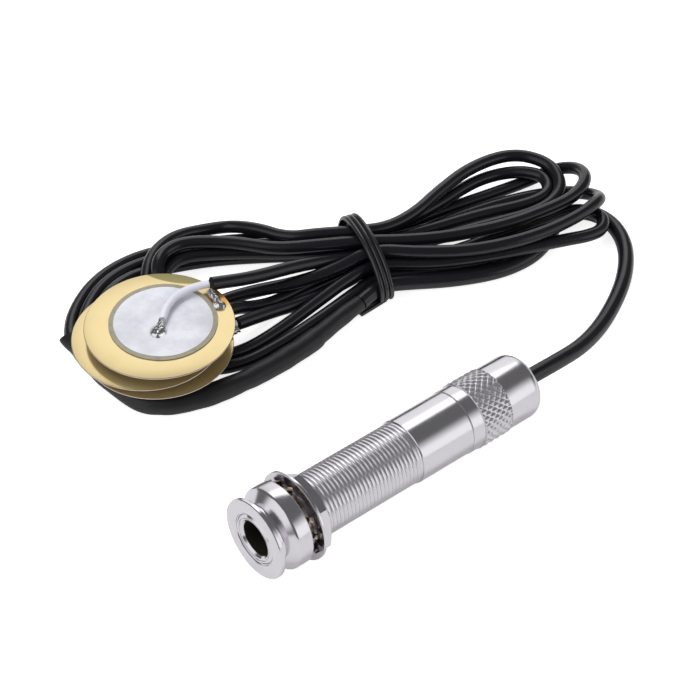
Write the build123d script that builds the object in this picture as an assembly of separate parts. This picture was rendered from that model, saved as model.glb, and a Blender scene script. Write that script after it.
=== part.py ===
from build123d import *
import math
import os

os.makedirs("parts", exist_ok=True)

# Piezo pickup: an end-pin jack, a hank of cables and three stacked discs.
# Millimetres, +Z up, the ground at z = 0. The jack lies along +X, mouth first.

# ---- jack: stations measured from the mouth along the axis, and radii ----
BORE_R = 3.25
SPIGOT_R = 4.60
FLANGE_R = 7.32
FLANGE_T = 0.90
NECK_R = 5.60
NECK_END = 2.20
COLLAR_R = 7.50
CONE_END = 3.70
COLLAR_END = 6.60
TOOTH_ROOT_R = 6.30
TOOTH_WASHER_END = 8.30
TEETH = 14
WASHER_R = 8.13
WASHER_END = 8.90
NUT_AF = 13.0
NUT_END = 11.0
THREAD_R = 5.67
CLEAR_R = THREAD_R + 0.10
THREAD_END = 32.0
TUBE_R = 5.91
TUBE_END = 43.3
CHAMBER_R = 4.70
CHAMBER_START = 11.0
CAP_R = 6.02
KNURL_R = 6.30
KNURL_START = 45.9
KNURL_END = 52.2
CAP_END = 60.5
CAP_NOSE = 2.6

MAIN_D = 3.0
CABLE_D = 2.45
SPLICE_D = 3.8
CORE_D = 1.3
JACK_CORE_D = 0.9
TAIL_D = 1.1

# the jack rests on its flat washer and on the rear edge of its knurl
TILT = math.degrees(math.atan((WASHER_R - KNURL_R) / (KNURL_END - WASHER_END)))
MOUTH_X = -30.2
MOUTH_Y = -27.6
MOUTH_Z = (WASHER_END * math.sin(math.radians(TILT))
           + WASHER_R * math.cos(math.radians(TILT)) + 0.005)
JACK = Location((MOUTH_X, MOUTH_Y, MOUTH_Z), (0, TILT, 0))

# the hank of cables and the discs are laid out in a frame of their own
HANK_AT = (16.0, 5.6, 0.0)
HANK_TURN = -40.0
HANK = Location(HANK_AT, (0, 0, HANK_TURN))


def save(name, solid):
    solid.label = name
    export_step(solid, "parts/" + name + ".step")
    box = solid.bounding_box()
    print("%-22s %9.2f mm3   z %.2f to %.2f" % (name, solid.volume, box.min.Z, box.max.Z))


def turned(profile):
    """Solid of revolution about X from (station, radius) corners."""
    face = make_face(Polyline(*[(s, r) for s, r in profile], close=True))
    return Solid.revolve(face.face(), 360, Axis.X)


def ring(s0, s1, r_out, r_in):
    return turned([(s0, r_in), (s1, r_in), (s1, r_out), (s0, r_out)])


# ---- cord tubes: straight runs joined by tangent arcs ----
def cord_path(points):
    """Path, and the radius of the arc at each corner."""
    corners = [Vector(*p) for p in points]
    radii = []
    for a, b, c in zip(corners, corners[1:], corners[2:]):
        half = math.radians((b - a).get_angle(c - b)) / 2
        radii.append(0.45 * min((b - a).length, (c - b).length) / math.tan(half))
    return FilletPolyline(*corners, radius=radii), radii


def cord(name, points, d):
    path, radii = cord_path(points)
    start = Plane(path @ 0, z_dir=path % 0)
    tube = sweep(start * Circle(d / 2), path=path).solid()
    section = math.pi * d * d / 4
    print(name, "length %.1f mm," % path.length,
          "volume against section x length %.3f" % (tube.volume / section / path.length))
    print("  arc radii:", " ".join("%.1f" % r for r in radii))
    return HANK * tube

# ---- centre lines (hank frame: x, y, z) ----
CABLE_1 = [
    (-44.35, 0.4, 3.0), (-44.6, 1.9, 2.95), (-44.0, 6.1, 2.85), (-42.15, 10.55, 2.8),
    (-38.7, 14.6, 2.4), (-33.2, 17.7, 1.5), (-24.0, 20.3, 1.3), (-14.0, 21.2, 1.3),
    (-5.0, 21.6, 1.3), (3.3, 21.6, 2.2), (12.0, 26.4, 1.3), (22.0, 32.2, 1.3),
    (32.0, 36.9, 1.3), (39.0, 39.2, 1.3), (44.5, 39.8, 1.4), (48.4, 38.2, 2.3),
    (50.0, 35.0, 4.2), (49.2, 31.4, 6.4), (45.2, 26.4, 6.9), (37.0, 20.9, 6.9),
    (26.0, 17.2, 6.6), (15.0, 16.6, 6.5), (5.9, 17.1, 6.9), (-0.5, 13.8, 5.0),
    (-8.0, 11.0, 3.95), (-16.0, 9.0, 3.8), (-22.0, 6.4, 3.75), (-25.8, 3.0, 3.75),
    (-30.3, 1.9, 3.75), (-34.0, 3.3, 3.75), (-35.6, 7.4, 3.8), (-35.9, 12.0, 4.3),
    (-35.5, 16.6, 4.6), (-33.6, 20.8, 4.5), (-30.7, 24.4, 3.8), (-26.2, 27.6, 2.3),
    (-20.8, 28.8, 2.3), (-15.4, 24.8, 5.1), (-10.0, 21.2, 6.0), (-4.0, 21.4, 6.85),
    (3.2, 21.9, 7.0), (9.0, 23.6, 6.4), (14.3, 27.6, 6.6), (18.8, 33.8, 6.6), (25.3, 41.6, 6.2),
    (33.5, 46.4, 5.7), (40.4, 44.2, 5.4), (42.8, 38.8, 5.0), (41.6, 34.0, 4.5),
    (37.0, 30.6, 3.9), (28.0, 27.2, 3.9), (16.0, 22.6, 3.8), (5.3, 18.2, 4.55),
    (-0.5, 17.0, 4.5), (-7.5, 12.9, 6.7), (-15.8, 7.6, 8.5), (-20.4, 4.7, 10.2),
    (-23.2, 3.45, 10.85),
]
CABLE_2 = [
    (-46.6, -0.5, 2.3), (-47.0, 1.7, 2.2), (-46.4, 6.5, 2.1), (-44.35, 11.95, 2.1),
    (-40.6, 16.4, 2.0), (-34.9, 20.0, 1.75), (-24.0, 22.75, 1.35), (-14.0, 23.8, 2.15),
    (-5.0, 22.9, 3.55), (2.6, 22.9, 4.4), (10.0, 26.4, 3.9), (18.0, 32.2, 4.0),
    (25.5, 40.0, 3.6), (31.5, 43.2, 3.3), (36.4, 42.8, 4.0), (39.3, 40.4, 4.0),
    (39.6, 36.8, 3.9), (36.0, 34.0, 3.9), (26.5, 30.2, 3.9), (15.0, 25.2, 3.8),
    (4.0, 20.5, 4.55), (-3.0, 19.7, 4.3), (-10.0, 19.4, 3.8), (-17.0, 19.65, 3.7),
    (-23.5, 19.3, 3.75), (-28.6, 18.5, 3.95), (-32.0, 16.5, 3.65), (-33.8, 12.4, 1.6),
    (-34.5, 7.2, 1.3), (-33.4, 0.6, 1.3), (-30.6, -5.2, 1.3), (-25.0, -9.0, 1.3),
    (-18.0, -8.0, 1.3), (-10.4, -2.2, 1.3), (-3.2, 4.8, 1.3), (2.3, 10.6, 1.3),
    (7.2, 14.8, 2.2), (17.0, 17.2, 1.3), (25.6, 19.0, 1.3), (31.6, 21.6, 1.3),
    (35.2, 25.2, 1.3), (35.8, 29.8, 1.3), (32.0, 33.0, 1.3), (26.0, 30.9, 1.3),
    (19.0, 26.9, 1.3), (11.5, 23.2, 1.3), (4.6, 19.4, 2.2), (-1.5, 16.0, 1.3),
    (-7.4, 12.2, 1.3), (-12.2, 8.2, 1.6), (-16.2, 4.4, 4.0), (-18.8, 2.0, 6.4),
    (-21.0, -0.4, 7.5),
]
CABLE_3 = [
    (-48.85, -1.35, 1.6), (-49.4, 1.4, 1.45), (-48.7, 7.1, 1.3), (-46.3, 13.25, 1.3),
    (-42.1, 18.4, 1.3), (-35.8, 22.3, 1.3), (-24.3, 25.25, 1.3), (-14.0, 26.35, 1.3),
    (-5.0, 24.5, 1.3), (1.9, 24.2, 2.2), (11.0, 29.2, 1.3), (21.0, 35.0, 1.3),
    (31.0, 40.0, 1.3), (36.8, 43.2, 1.3), (42.0, 45.2, 2.8), (46.4, 42.8, 5.1),
    (47.6, 37.6, 6.7), (44.8, 32.2, 6.8), (39.4, 28.4, 6.85), (31.5, 24.4, 6.5),
    (20.0, 20.9, 6.5), (11.0, 19.6, 6.75), (4.6, 19.4, 6.9), (-4.0, 18.2, 6.95),
    (-11.5, 17.9, 6.2), (-18.5, 19.5, 6.2), (-24.5, 20.0, 6.2), (-29.6, 19.6, 6.15),
    (-32.9, 17.1, 6.15), (-34.0, 13.2, 6.2), (-33.1, 9.6, 4.3), (-31.4, 6.2, 1.3),
    (-30.8, 0.8, 1.3), (-28.4, -3.4, 1.3), (-24.3, -6.0, 1.3), (-18.0, -4.8, 1.3),
    (-11.2, 0.8, 1.5), (-4.2, 7.4, 2.6), (1.3, 12.3, 3.6), (6.6, 15.9, 4.55), (17.0, 16.2, 3.9),
    (28.0, 18.2, 4.1), (37.5, 21.0, 4.4), (43.0, 22.6, 4.4), (46.8, 23.8, 4.2),
    (49.3, 26.4, 3.9), (49.2, 29.2, 3.8), (46.4, 30.5, 3.9), (42.0, 29.4, 4.3),
    (37.0, 27.4, 4.3), (30.0, 24.9, 3.4), (22.5, 22.3, 1.9), (14.0, 20.0, 1.3),
    (5.9, 17.1, 2.2), (0.0, 13.2, 1.3), (-7.4, 8.0, 1.6), (-13.6, 3.0, 3.8), (-18.6, -1.7, 5.7),
]
MAIN_CABLE = [
    (24.98, -22.38, 6.345), (29.96, -18.2, 6.15), (34.93, -14.03, 5.8), (39.2, -9.9, 4.8),
    (43.4, -5.0, 3.2), (47.4, 1.4, 1.8), (50.8, 8.4, 1.5), (53.2, 15.2, 1.5), (54.2, 22.0, 1.5),
    (53.5, 27.4, 1.5), (51.3, 31.6, 1.5), (47.4, 34.0, 1.5), (43.4, 33.1, 1.5),
    (40.8, 29.4, 1.5), (39.0, 24.6, 1.5), (35.4, 20.2, 1.5), (29.6, 16.7, 1.5),
    (21.0, 14.5, 1.6), (13.0, 13.2, 2.2), (8.5, 12.2, 2.6), (6.0, 10.1, 2.6), (3.75, 7.48, 2.3),
]
SPLICE = [
    (3.6, 7.3, 2.3), (-0.6, 3.2, 1.92), (-5.4, -2.7, 1.92), (-11.0, -7.8, 1.92),
    (-17.0, -12.4, 1.95), (-23.5, -16.2, 1.95), (-30.5, -18.9, 1.95), (-36.2, -16.9, 1.95),
    (-41.4, -11.9, 1.95), (-45.4, -6.6, 2.1), (-47.5, -1.2, 2.3),
]

# ---- jack, outside ----
strap_button = turned([
    (0.0, SPIGOT_R), (0.0, FLANGE_R - 0.25), (0.25, FLANGE_R), (FLANGE_T - 0.2, FLANGE_R),
    (FLANGE_T, FLANGE_R - 0.2), (FLANGE_T + 0.05, NECK_R + 0.5), (FLANGE_T + 0.35, NECK_R + 0.1),
    (FLANGE_T + 0.8, NECK_R), (NECK_END, NECK_R + 0.05), (CONE_END, COLLAR_R - 0.15),
    (CONE_END + 0.3, COLLAR_R), (COLLAR_END - 0.2, COLLAR_R), (COLLAR_END, COLLAR_R - 0.2),
    (COLLAR_END, SPIGOT_R),
])
save("strap_button", JACK * strap_button)

TOOTH_MID = (COLLAR_END + TOOTH_WASHER_END) / 2
TOOTH_TWIST = 50
TOOTH_SIZE = (0.75, 1.5, 0.96)
LOCK_T = 0.8
lock_washer = ring(TOOTH_MID - LOCK_T / 2, TOOTH_MID + LOCK_T / 2, TOOTH_ROOT_R, CLEAR_R)
for i in range(TEETH):
    tooth = Location((TOOTH_MID, 0, TOOTH_ROOT_R + 0.12), (0, 0, TOOTH_TWIST))
    tooth *= Box(*TOOTH_SIZE)
    lock_washer += Rotation(i * 360 / TEETH, 0, 0) * tooth
save("lock_washer", JACK * lock_washer)

flat_washer = ring(TOOTH_WASHER_END, WASHER_END, WASHER_R, CLEAR_R)
save("flat_washer", JACK * flat_washer)

NUT_SPIN = 19
hex_nut = extrude(Plane.YZ * RegularPolygon(NUT_AF / 2, 6, major_radius=False),
                  NUT_END - WASHER_END)
hex_nut = Location((WASHER_END, 0, 0), (NUT_SPIN, 0, 0)) * hex_nut
nut_cone = turned([
    (WASHER_END, 0), (NUT_END, 0), (NUT_END, 6.75), (NUT_END - 0.4, 7.55),
    (WASHER_END, 7.55),
])
hex_nut = (hex_nut & nut_cone) - ring(0, 20, THREAD_R, 0)
save("hex_nut", JACK * hex_nut)

BARREL_REAR = 46.0
REAR_SPIGOT_R = 5.30
barrel = turned([
    (0.0, BORE_R + 0.5), (0.5, BORE_R), (CHAMBER_START, BORE_R), (CHAMBER_START, CHAMBER_R),
    (BARREL_REAR, CHAMBER_R), (BARREL_REAR, REAR_SPIGOT_R), (TUBE_END, REAR_SPIGOT_R),
    (TUBE_END, TUBE_R), (THREAD_END, TUBE_R), (THREAD_END, THREAD_R), (COLLAR_END, THREAD_R),
    (COLLAR_END, SPIGOT_R), (0.15, SPIGOT_R), (0.0, SPIGOT_R - 0.15),
])
save("barrel", JACK * barrel)

CAP_CAVITY_END = 57.0
CAP_HOLE_R = 1.65
NOSE = CAP_END - CAP_NOSE
rear_cap = turned([
    (TUBE_END, REAR_SPIGOT_R), (TUBE_END, CAP_R - 0.15), (TUBE_END + 0.15, CAP_R),
    (KNURL_START, CAP_R), (KNURL_START, KNURL_R), (KNURL_END, KNURL_R), (KNURL_END, CAP_R),
    (NOSE, CAP_R), (NOSE + 0.9, CAP_R - 0.22), (NOSE + 1.7, CAP_R - 0.85),
    (NOSE + 2.3, CAP_R - 1.8), (CAP_END, CAP_R - 2.8), (CAP_END, CAP_HOLE_R),
    (CAP_CAVITY_END, CAP_HOLE_R), (CAP_CAVITY_END, 5.0), (BARREL_REAR + 0.5, 5.0),
    (BARREL_REAR + 0.5, REAR_SPIGOT_R),
])
save("rear_cap", JACK * rear_cap)

# ---- jack, inside ----
PLUG_START = 33.0
PLUG_END = 40.0
LEAF_W = 2.2
LEAF_T = 0.35
LEAF_Z = 1.90
LUG_T = 0.40


def leaf(centreline, width, thick):
    """Bent strip in the XZ plane, given the middle of its thickness."""
    line = offset(Polyline(*centreline), thick / 2, side=Side.BOTH)
    return extrude(make_face(Plane.XZ * line), width / 2, both=True)


LEAF_MID = LEAF_Z + LEAF_T / 2
tip_spring = leaf([(41.5, LEAF_MID), (32.6, LEAF_MID), (31.4, 3.90), (30.6, 3.90),
                   (28.3, 2.70), (27.0, 3.60)], LEAF_W, LEAF_T)
slot = Location(((PLUG_START + PLUG_END) / 2, 0, LEAF_MID)) * Box(20, LEAF_W, LEAF_T)
contact_plug = ring(PLUG_START, PLUG_END, CHAMBER_R, 0) - slot
save("contact_plug", JACK * contact_plug)
save("tip_spring", JACK * tip_spring)

LUG_Z = LEAF_Z + LEAF_T + LUG_T / 2
tip_lug = Location(((PLUG_END + 45.5) / 2, 0, LUG_Z)) * Box(45.5 - PLUG_END, 2.0, LUG_T)
tip_lug -= Location((42.6, 0, LUG_Z)) * Cylinder(0.45, 2)
save("tip_lug", JACK * tip_lug)

ground_ring = ring(BARREL_REAR, BARREL_REAR + 0.5, 5.20, 3.60)
leg = Location((BARREL_REAR + 0.25, 0, -3.20)) * Box(0.5, 2.4, 1.60)
strap = Location(((BARREL_REAR + 54.0) / 2, 0, -2.15)) * Box(54.0 - BARREL_REAR, 2.4, 0.5)
ground_clamp = ground_ring + leg + strap + ring(51.2, 54.0, 2.10, 1.62)
ground_clamp -= ring(51.0, 54.2, 1.62, 0)
save("ground_clamp", JACK * ground_clamp)

save("lug_sleeve", JACK * ring(47.0, 56.0, 4.95, 4.65))

CORE_IN = [(50.9, 0.0, 0.0), (48.8, 0.0, 0.6), (46.9, 0.0, 2.6), (45.6, 0.0, 3.25), (44.2, 0.0, 3.3)]


def wire(points, d):
    path, radii = cord_path(points)
    start = Plane(path @ 0, z_dir=path % 0)
    return sweep(start * Circle(d / 2), path=path).solid()


jack_core = wire(CORE_IN, JACK_CORE_D)
save("jack_core", JACK * jack_core)
jack_solder = Location((44.3, 0, 3.2)) * Sphere(0.9)
jack_solder = jack_solder - jack_core - Location((44, 0, 1.65)) * Box(6, 6, 2 * LUG_T + 1.2)
save("jack_solder", JACK * jack_solder.solids().sort_by(SortBy.VOLUME)[-1])

# ---- cords ----
save("main_cable", cord("main_cable", MAIN_CABLE, MAIN_D))

# the shrink sleeve opens into a flat mouth where the three disc cables enter
MOUTH_FROM = 0.86
MOUTH_MID = 0.94
MOUTH_SHIFT = 0.95
MOUTH_HALF_W = 4.5
MOUTH_HALF_H = 1.75
MOUTH_TILT = 17
sleeve_path, radii = cord_path(SPLICE)


def mouth_section(at, shift, half_w, half_h, tilt):
    """Oval across the sleeve at a fraction of its path, pushed sideways."""
    along = sleeve_path % at
    side = Vector(along.Y, -along.X, 0).normalized()
    plane = Plane((sleeve_path @ at) + side * shift, x_dir=side, z_dir=along)
    return plane * Rotation(0, 0, tilt) * Ellipse(half_w, half_h)


flare = loft([
    mouth_section(MOUTH_FROM, 0, SPLICE_D / 2, SPLICE_D / 2, 0),
    mouth_section(MOUTH_MID, MOUTH_SHIFT / 2, 2.9, 1.85, MOUTH_TILT / 2),
    mouth_section(1, MOUTH_SHIFT, MOUTH_HALF_W, MOUTH_HALF_H, MOUTH_TILT),
])
sleeve = cord("splice_sleeve", SPLICE, SPLICE_D) + HANK * flare
save("splice_sleeve", sleeve.solid())
save("disc_cable_1", cord("disc_cable_1", CABLE_1, CABLE_D))
save("disc_cable_2", cord("disc_cable_2", CABLE_2, CABLE_D))
save("disc_cable_3", cord("disc_cable_3", CABLE_3, CABLE_D))

# ---- bundle tie: one flat strip closed round the whole bundle ----
TIE_AT = (4.6, 19.4)
TIE_TURN = 29.2
TIE_W = 3.2
TIE_T = 0.68
TIE_INSIDE = [
    (-7.4, 0.68), (9.8, 0.68), (10.8, 1.8), (10.8, 3.3), (4.5, 8.3), (3.3, 8.75), (-4.6, 8.75),
    (-6.6, 7.9), (-8.3, 3.3), (-8.3, 1.6),
]
# local x runs along the bundle, local y across it from front to back
tie_plane = Plane((0, 0, 0), x_dir=(0, -1, 0), z_dir=(-1, 0, 0))
inner = make_face(Polyline(*TIE_INSIDE, close=True))
outer = offset(inner, TIE_T, kind=Kind.ARC)
band = extrude(tie_plane * (outer - inner), TIE_W / 2, both=True)
# the cut tail lies under the main cable and sticks out on the near side
TAIL_AT = (-2.9, -10.2, 0.32)
TAIL_SIZE = (6.2, 2.0, 0.6)
TAIL_TURN = 17
tie = band + Location(TAIL_AT, (0, 0, TAIL_TURN)) * Box(*TAIL_SIZE)
TIE = HANK * Location((TIE_AT[0], TIE_AT[1], 0), (0, 0, TIE_TURN))
save("bundle_tie", TIE * tie)

# ---- piezo discs ----
PLATE_R = 13.5
PLATE_T = 0.30
CERAMIC_R = 9.80
CERAMIC_T = 0.20
CERAMIC_SHIFT = (0.62, 0.72)
ELECTRODE_R = 8.95
ELECTRODE_T = 0.04
STACK_T = PLATE_T + CERAMIC_T + ELECTRODE_T
PITCH = 2.08
DISC_3_Z = 5.00


def disc(i, at, z, core, tail, centre_joint, edge_joint, roof):
    """One disc with its wires; roof is the height of the disc above, or None."""
    x, y = at
    plate = Location((x, y, z + PLATE_T / 2)) * Cylinder(PLATE_R, PLATE_T)
    x, y = x + CERAMIC_SHIFT[0], y + CERAMIC_SHIFT[1]
    ceramic = Location((x, y, z + PLATE_T + CERAMIC_T / 2)) * Cylinder(CERAMIC_R, CERAMIC_T)
    silver = Location((x, y, z + STACK_T - ELECTRODE_T / 2)) * Cylinder(ELECTRODE_R, ELECTRODE_T)
    core_wire = wire(core, CORE_D)
    tail_wire = wire(tail, TAIL_D)
    save("brass_plate_%d" % i, HANK * plate)
    save("ceramic_%d" % i, HANK * ceramic)
    save("electrode_%d" % i, HANK * silver)
    save("core_wire_%d" % i, HANK * core_wire)
    save("shield_tail_%d" % i, HANK * tail_wire)
    joints = (
        ("centre_solder_%d", centre_joint, z + STACK_T, 1.70, core_wire, 1.05),
        ("edge_solder_%d", edge_joint, z + PLATE_T, 1.30, tail_wire, 1.15),
    )
    for name, (jx, jy), base, r, lead, high in joints:
        top = high if roof is None else roof - base
        half = [(0, 0), (r, 0), (r * 0.96, top * 0.3), (r * 0.78, top * 0.66),
                (r * 0.45, top * 0.92), (r * 0.3, top), (0, top)]
        blob = Solid.revolve(make_face(Plane.XZ * Polyline(*half, close=True)).face(),
                             360, Axis.Z)
        blob = (Location((jx, jy, base)) * blob) - lead - ceramic
        blob = blob.solids().sort_by(SortBy.VOLUME)[-1]
        save(name % i, HANK * blob)


disc(1, (-32.1, -5.8), DISC_3_Z + 2 * PITCH,
     [(-23.65, 3.3, 10.95), (-25.4, 2.75, 11.0), (-27.6, 1.75, 10.9), (-29.6, 0.1, 10.75),
      (-30.8, -2.1, 10.6), (-31.4, -4.6, 10.5), (-31.9, -7.2, 10.42)],
     [(-23.35, 1.95, 10.55), (-23.1, 1.3, 10.4), (-22.4, 0.4, 10.2), (-21.8, -0.3, 10.06)],
     (-32.2, -7.7), (-21.7, -0.9), None)
disc(2, (-34.4, -6.55), DISC_3_Z + PITCH,
     [(-21.1, -0.5, 7.75), (-23.8, -2.1, 8.39), (-28.5, -5.2, 8.39), (-33.8, -7.6, 8.39)],
     [(-20.7, -1.7, 7.6), (-21.5, -3.1, 8.0), (-22.8, -4.3, 8.02)],
     (-34.2, -8.0), (-23.2, -4.6), DISC_3_Z + 2 * PITCH)
disc(3, (-32.5, -6.55), DISC_3_Z,
     [(-18.7, -1.8, 5.85), (-22.0, -3.5, 6.31), (-27.0, -5.6, 6.31), (-31.9, -7.5, 6.31)],
     [(-18.35, -3.05, 5.65), (-19.5, -4.3, 5.92), (-21.1, -5.3, 5.95)],
     (-32.4, -7.8), (-21.3, -5.6), DISC_3_Z + PITCH)
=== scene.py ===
import math
from functools import partial

import bmesh
import bpy
from mathutils import Matrix, Vector, noise


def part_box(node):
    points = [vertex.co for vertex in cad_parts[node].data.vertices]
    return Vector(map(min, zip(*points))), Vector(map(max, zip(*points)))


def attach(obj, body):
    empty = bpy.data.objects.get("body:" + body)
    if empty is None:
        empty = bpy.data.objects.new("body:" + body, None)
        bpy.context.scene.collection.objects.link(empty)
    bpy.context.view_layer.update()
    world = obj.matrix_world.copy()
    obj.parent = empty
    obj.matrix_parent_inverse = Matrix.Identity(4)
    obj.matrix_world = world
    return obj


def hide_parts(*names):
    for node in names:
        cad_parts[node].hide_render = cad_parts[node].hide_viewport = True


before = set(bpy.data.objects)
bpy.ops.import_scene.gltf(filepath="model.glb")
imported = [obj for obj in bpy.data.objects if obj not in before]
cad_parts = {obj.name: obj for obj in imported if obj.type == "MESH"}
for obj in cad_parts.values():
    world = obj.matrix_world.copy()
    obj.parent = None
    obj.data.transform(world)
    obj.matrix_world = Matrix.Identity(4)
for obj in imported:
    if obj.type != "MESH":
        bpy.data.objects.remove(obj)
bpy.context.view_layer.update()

# --------------------------------------
# Camera: looks down on the hank from in front of the jack's mouth, with a
# long lens.

LOOK_AT = Vector((0.0160, 0.0056, 0.0))
CAMERA_AZIMUTH = math.radians(-40.0)
CAMERA_ELEVATION = math.radians(44.42)
CAMERA_DISTANCE = 0.4148
CAMERA_LENS = 120.28
SENSOR_WIDTH = 36.0


def add_object(name, data):
    """A new object at the origin, linked to the scene."""
    made = bpy.data.objects.new(name, data)
    bpy.context.collection.objects.link(made)
    return made


flat_distance = CAMERA_DISTANCE * math.cos(CAMERA_ELEVATION)
camera_data = bpy.data.cameras.new("camera")
camera_data.lens = CAMERA_LENS
camera_data.sensor_width = SENSOR_WIDTH
camera_data.clip_start = 0.01
camera = add_object("camera", camera_data)
camera.location = LOOK_AT + Vector((
    flat_distance * math.sin(CAMERA_AZIMUTH),
    -flat_distance * math.cos(CAMERA_AZIMUTH),
    CAMERA_DISTANCE * math.sin(CAMERA_ELEVATION),
))
camera.rotation_euler = (LOOK_AT - camera.location).to_track_quat("-Z", "Y").to_euler()
bpy.context.scene.camera = camera

# --------------------------------------
# Disc cables: three thin screened cables, each in a glossy black PVC jacket.
# They leave the splice together, run round the hank twice and end at one disc
# each. Route points are in millimetres, in the hank's own frame.

HANK = Matrix.Translation((0.0160, 0.0056, 0.0)) @ Matrix.Rotation(math.radians(-40.0), 4, "Z")
DISC_CABLE_DIAMETER = 0.00245
CABLE_LENGTHS = (0.397, 0.360, 0.400)
JACKET_BLACK = (0.0085, 0.0080, 0.0112, 1.0)


def in_metres(*points):
    """Points given in millimetres, turned to metres."""
    return [tuple(part / 1000 for part in point) for point in points]


CABLE_1_ROUTE = in_metres(
    (-44.35, 0.4, 3), (-44.6, 1.9, 2.95), (-44, 6.1, 2.85), (-42.15, 10.55, 2.8),
    (-38.7, 14.6, 2.4), (-33.2, 17.7, 1.5), (-24, 20.3, 1.3), (-14, 21.2, 1.3), (-5, 21.6, 1.3),
    (3.3, 21.6, 2.2), (12, 26.4, 1.3), (22, 32.2, 1.3), (32, 36.9, 1.3), (39, 39.2, 1.3),
    (44.5, 39.8, 1.4), (48.4, 38.2, 2.3), (50, 35, 4.2), (49.2, 31.4, 6.4), (45.2, 26.4, 6.9),
    (37, 20.9, 6.9), (26, 17.2, 6.6), (15, 16.6, 6.5), (5.9, 17.1, 6.9), (-0.5, 13.8, 5),
    (-8, 11, 3.95), (-16, 9, 3.8), (-22, 6.4, 3.75), (-25.8, 3, 3.75), (-30.3, 1.9, 3.75),
    (-34, 3.3, 3.75), (-35.6, 7.4, 3.8), (-35.9, 12, 4.3), (-35.5, 16.6, 4.6), (-33.6, 20.8, 4.5),
    (-30.7, 24.4, 3.8), (-26.2, 27.6, 2.3), (-20.8, 28.8, 2.3), (-15.4, 24.8, 5.1), (-10, 21.2, 6),
    (-4, 21.4, 6.85), (3.2, 21.9, 7), (9, 23.6, 6.4), (14.3, 27.6, 6.6), (18.8, 33.8, 6.6),
    (25.3, 41.6, 6.2), (33.5, 46.4, 5.7), (40.4, 44.2, 5.4), (42.8, 38.8, 5), (41.6, 34, 4.5),
    (37, 30.6, 3.9), (28, 27.2, 3.9), (16, 22.6, 3.8), (5.3, 18.2, 4.55), (-0.5, 17, 4.5),
    (-7.5, 12.9, 6.7), (-15.8, 7.6, 8.5), (-20.4, 4.7, 10.2), (-23.2, 3.45, 10.85),
)
CABLE_2_ROUTE = in_metres(
    (-46.6, -0.5, 2.3), (-47, 1.7, 2.2), (-46.4, 6.5, 2.1), (-44.35, 11.95, 2.1), (-40.6, 16.4, 2),
    (-34.9, 20, 1.75), (-24, 22.75, 1.35), (-14, 23.8, 2.15), (-5, 22.9, 3.55), (2.6, 22.9, 4.4),
    (10, 26.4, 3.9), (18, 32.2, 4), (25.5, 40, 3.6), (31.5, 43.2, 3.3), (36.4, 42.8, 4),
    (39.9, 41.2, 4), (40.5, 36.6, 3.9), (36.2, 33.3, 3.9), (26.5, 30.2, 3.9), (15, 25.2, 3.8),
    (4, 20.5, 4.55), (-3, 19.7, 4.3), (-10, 19.4, 3.8), (-17, 19.65, 3.7), (-23.5, 19.3, 3.75),
    (-28.6, 18.5, 3.95), (-32, 16.5, 3.65), (-33.8, 12.4, 1.6), (-34.5, 7.2, 1.3),
    (-33.4, 0.6, 1.3), (-30.6, -5.2, 1.3), (-25, -9, 1.3), (-18, -8, 1.3), (-10.4, -2.2, 1.3),
    (-3.2, 4.8, 1.3), (2.3, 10.6, 1.3), (7.2, 14.8, 2.2), (17, 17.2, 1.3), (25.6, 19, 1.3),
    (31.6, 21.6, 1.3), (35.2, 25.2, 1.3), (35.8, 29.8, 1.3), (32, 33, 1.3), (26, 30.9, 1.3),
    (19, 26.9, 1.3), (11.5, 23.2, 1.3), (4.6, 19.4, 2.2), (-1.5, 16, 1.3), (-7.4, 12.2, 1.3),
    (-12.2, 8.2, 1.6), (-16.2, 4.4, 4), (-18.8, 2, 6.4), (-21, -0.4, 7.5),
)
CABLE_3_ROUTE = in_metres(
    (-48.85, -1.35, 1.6), (-49.4, 1.4, 1.45), (-48.7, 7.1, 1.3), (-46.3, 13.25, 1.3),
    (-42.1, 18.4, 1.3), (-35.8, 22.3, 1.3), (-24.3, 25.25, 1.3), (-14, 26.35, 1.3), (-5, 24.5, 1.3),
    (1.9, 24.2, 2.2), (11, 29.2, 1.3), (21, 35, 1.3), (31, 40, 1.3), (36.8, 43.2, 1.3),
    (42, 45.2, 2.8), (46.4, 42.8, 5.1), (47.6, 37.6, 6.7), (44.8, 32.2, 6.8), (39.4, 28.4, 6.85),
    (31.5, 24.4, 6.5), (20, 20.9, 6.5), (11, 19.6, 6.75), (4.6, 19.4, 6.9), (-4, 18.2, 6.95),
    (-11.5, 17.9, 6.2), (-18.5, 19.5, 6.2), (-24.5, 20, 6.2), (-29.6, 19.6, 6.15),
    (-32.9, 17.1, 6.15), (-34, 13.2, 6.2), (-33.1, 9.6, 4.3), (-31.4, 6.2, 1.3), (-30.8, 0.8, 1.3),
    (-28.4, -3.4, 1.3), (-24.3, -6, 1.3), (-18, -4.8, 1.3), (-11.2, 0.8, 1.5), (-4.2, 7.4, 2.6),
    (1.3, 12.3, 3.6), (6.6, 15.9, 4.55), (17, 16.2, 3.9), (28, 18.2, 4.1), (37.5, 21, 4.4),
    (43, 22.6, 4.4), (46.8, 23.8, 4.2), (49.7, 25.8, 3.9), (50.3, 29.7, 3.8), (46.6, 31.8, 3.9),
    (41.8, 30.4, 4.3), (37, 27.4, 4.3), (30, 24.9, 3.4), (22.5, 22.3, 1.9), (14, 20, 1.3),
    (5.9, 17.1, 2.2), (0, 13.2, 1.3), (-7.4, 8, 1.6), (-13.6, 3, 3.8), (-18.6, -1.7, 5.7),
)


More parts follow.
